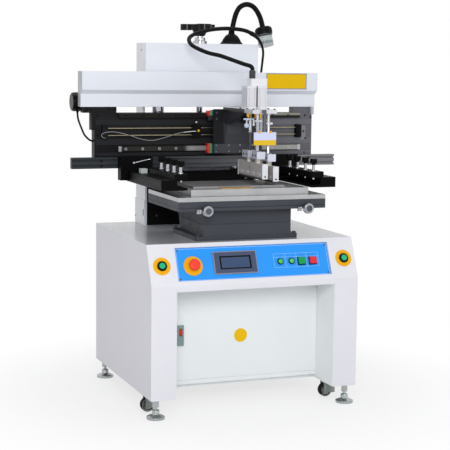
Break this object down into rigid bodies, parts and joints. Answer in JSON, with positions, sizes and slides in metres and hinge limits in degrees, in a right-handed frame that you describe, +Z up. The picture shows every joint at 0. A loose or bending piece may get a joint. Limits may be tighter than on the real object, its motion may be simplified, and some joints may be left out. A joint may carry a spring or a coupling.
{
  "type": "solder paste printer",
  "caption": "Floor-standing solder paste printer: white cabinet with sloped control panel, dark work table, lifting cross beam with hood, sliding squeegee head, stencil arms and lamp",
  "frame": {"origin": "On the floor, under the middle of the box around the whole machine.", "axes": "+X runs to the operator's right along the cross beam, +Y runs from the operator's side to the rear, +Z is up."},
  "size_m": [1.164, 0.776, 1.599],
  "materials": {
    "cabinet_paint": "satin",
    "recess_paint": "satin",
    "panel_blue": "satin",
    "bezel_plastic": "satin",
    "screen_surface": "gloss",
    "black_plastic": "satin",
    "yellow_plastic": "satin",
    "lamp_green": "gloss",
    "fixing_steel": "satin",
    "stop_red": "gloss",
    "start_green": "gloss",
    "square_green": "gloss",
    "square_red": "gloss",
    "rocker_red": "gloss",
    "foot_steel": "satin",
    "fork_steel": "satin",
    "wheel_rubber": "matte",
    "column_paint": "satin",
    "cover_paint": "satin",
    "chrome": "gloss",
    "lamp_black": "satin",
    "lens_clear": "gloss",
    "casting_paint": "satin",
    "tray_metal": "satin",
    "plate_metal": "satin",
    "knob_metal": "satin",
    "beam_paint": "satin",
    "bridge_metal": "satin",
    "label_yellow": "satin",
    "rail_steel": "satin",
    "slot_aluminium": "satin",
    "sensor_plastic": "satin",
    "motor_paint": "satin",
    "cable_black": "satin",
    "cable_grey": "satin",
    "carriage_paint": "satin",
    "seal_plastic": "satin",
    "cylinder_metal": "satin",
    "cap_white": "gloss",
    "brass": "satin",
    "sign_face": "satin",
    "squeegee_metal": "satin",
    "arm_black": "satin"
  },
  "bodies": {
    "machine_base": {"cabinet": "cabinet_paint", "recess_panel": "recess_paint", "control_panel": "panel_blue", "screen_bezel": "bezel_plastic", "screen_glass": "screen_surface", "button_rings": "black_plastic", "yellow_rings": "yellow_plastic", "panel_lamps": "lamp_green", "fixings": "fixing_steel", "levelling_feet": "foot_steel", "column": "column_paint", "column_cover": "cover_paint", "guide_posts": "chrome", "lamp_stand": "lamp_black", "lamp_head": "black_plastic", "lamp_lens": "lens_clear", "table_stand": "casting_paint"},
    "emergency_stop": {"stop_button": "stop_red"},
    "start_left": {"start_button_left": "start_green"},
    "start_right": {"start_button_right": "start_green"},
    "green_push": {"green_button": "square_green"},
    "red_push": {"red_button": "square_red"},
    "breaker": {"breaker_rocker": "rocker_red"},
    "fork_left": {"caster_fork_left": "fork_steel"},
    "fork_right": {"caster_fork_right": "fork_steel"},
    "wheel_left": {"caster_wheel_left": "wheel_rubber"},
    "wheel_right": {"caster_wheel_right": "wheel_rubber"},
    "stop_wheel": {"stop_screw": "chrome", "handwheel": "black_plastic"},
    "tray": {"table_tray": "tray_metal"},
    "work_table": {"work_plate": "plate_metal"},
    "adjuster_left": {"knob_left": "knob_metal"},
    "adjuster_right": {"knob_right": "knob_metal"},
    "print_head": {"beam": "beam_paint", "lift_bridge": "bridge_metal", "hood": "column_paint", "hood_label": "label_yellow", "head_rails": "rail_steel", "slot_rail": "slot_aluminium", "drive_motor": "motor_paint", "motor_cable": "cable_black", "sensor_cable": "cable_grey", "hose": "cable_black"},
    "stroke_sensor": {"sensor_block": "sensor_plastic"},
    "squeegee_carriage": {"carriage": "carriage_paint", "block_seals": "seal_plastic", "cylinders": "cylinder_metal", "hose_cap": "cap_white", "brass_fittings": "brass", "sign_plate": "sign_face"},
    "left_squeegee": {"squeegee_left": "squeegee_metal"},
    "right_squeegee": {"squeegee_right": "squeegee_metal"},
    "left_arm": {"arm_left": "arm_black", "arm_pins_left": "chrome"},
    "right_arm": {"arm_right": "arm_black", "arm_pins_right": "chrome"}
  },
  "joints": [
    {"name": "head_lift", "type": "slide", "parent": "machine_base", "child": "print_head", "axis": [0, 0, 1], "range_m": [0, 0.12]},
    {"name": "carriage_travel", "type": "slide", "parent": "print_head", "child": "squeegee_carriage", "axis": [1, 0, 0], "range_m": [-0.306, 0.09]},
    {"name": "left_squeegee_lift", "type": "slide", "parent": "squeegee_carriage", "child": "left_squeegee", "axis": [0, 0, 1], "range_m": [-0.01, 0.02]},
    {"name": "right_squeegee_lift", "type": "slide", "parent": "squeegee_carriage", "child": "right_squeegee", "axis": [0, 0, 1], "range_m": [0, 0.03]},
    {"name": "left_arm_slide", "type": "slide", "parent": "print_head", "child": "left_arm", "axis": [1, 0, 0], "range_m": [-0.15, 0]},
    {"name": "right_arm_slide", "type": "slide", "parent": "print_head", "child": "right_arm", "axis": [1, 0, 0], "range_m": [0, 0.15]},
    {"name": "stroke_sensor_slide", "type": "slide", "parent": "print_head", "child": "stroke_sensor", "axis": [1, 0, 0], "range_m": [-0.35, 0.42]},
    {"name": "handwheel_turn", "type": "hinge", "parent": "machine_base", "child": "stop_wheel", "pos_m": [0.009, 0.317, 1.4], "axis": [0, 0, 1], "continuous": true},
    {"name": "adjuster_left_turn", "type": "hinge", "parent": "machine_base", "child": "adjuster_left", "pos_m": [-0.193, -0.333, 0.783], "axis": [0, 1, 0], "continuous": true},
    {"name": "adjuster_right_turn", "type": "hinge", "parent": "machine_base", "child": "adjuster_right", "pos_m": [0.222, -0.333, 0.783], "axis": [0, 1, 0], "continuous": true},
    {"name": "table_shift_sideways", "type": "slide", "parent": "machine_base", "child": "tray", "axis": [1, 0, 0], "range_m": [-0.005, 0.005]},
    {"name": "table_shift_fore_aft", "type": "slide", "parent": "tray", "child": "work_table", "axis": [0, 1, 0], "range_m": [-0.005, 0.005]},
    {"name": "emergency_stop_press", "type": "slide", "parent": "machine_base", "child": "emergency_stop", "axis": [0, 0.9118, -0.4106], "range_m": [0, 0.004], "stiffness_N_per_m": 1500, "springref_m": -0.002},
    {"name": "start_left_press", "type": "slide", "parent": "machine_base", "child": "start_left", "axis": [0, 0.9118, -0.4106], "range_m": [0, 0.004], "stiffness_N_per_m": 1500, "springref_m": -0.002},
    {"name": "start_right_press", "type": "slide", "parent": "machine_base", "child": "start_right", "axis": [0, 0.9118, -0.4106], "range_m": [0, 0.004], "stiffness_N_per_m": 1500, "springref_m": -0.002},
    {"name": "green_press", "type": "slide", "parent": "machine_base", "child": "green_push", "axis": [0, 0.9118, -0.4106], "range_m": [0, 0.004], "stiffness_N_per_m": 1500, "springref_m": -0.002},
    {"name": "red_press", "type": "slide", "parent": "machine_base", "child": "red_push", "axis": [0, 0.9118, -0.4106], "range_m": [0, 0.004], "stiffness_N_per_m": 1500, "springref_m": -0.002},
    {"name": "breaker_rock", "type": "hinge", "parent": "machine_base", "child": "breaker", "pos_m": [-0.2555, -0.23, 0.299], "axis": [1, 0, 0], "range_deg": [-8, 8]},
    {"name": "caster_left_swivel", "type": "hinge", "parent": "machine_base", "child": "fork_left", "pos_m": [-0.376, -0.256, 0.08], "axis": [0, 0, 1], "continuous": true},
    {"name": "caster_right_swivel", "type": "hinge", "parent": "machine_base", "child": "fork_right", "pos_m": [0.376, -0.256, 0.08], "axis": [0, 0, 1], "continuous": true},
    {"name": "caster_left_roll", "type": "hinge", "parent": "fork_left", "child": "wheel_left", "pos_m": [-0.398, -0.256, 0.032], "axis": [0, 1, 0], "continuous": true},
    {"name": "caster_right_roll", "type": "hinge", "parent": "fork_right", "child": "wheel_right", "pos_m": [0.354, -0.256, 0.032], "axis": [0, 1, 0], "continuous": true}
  ]
}
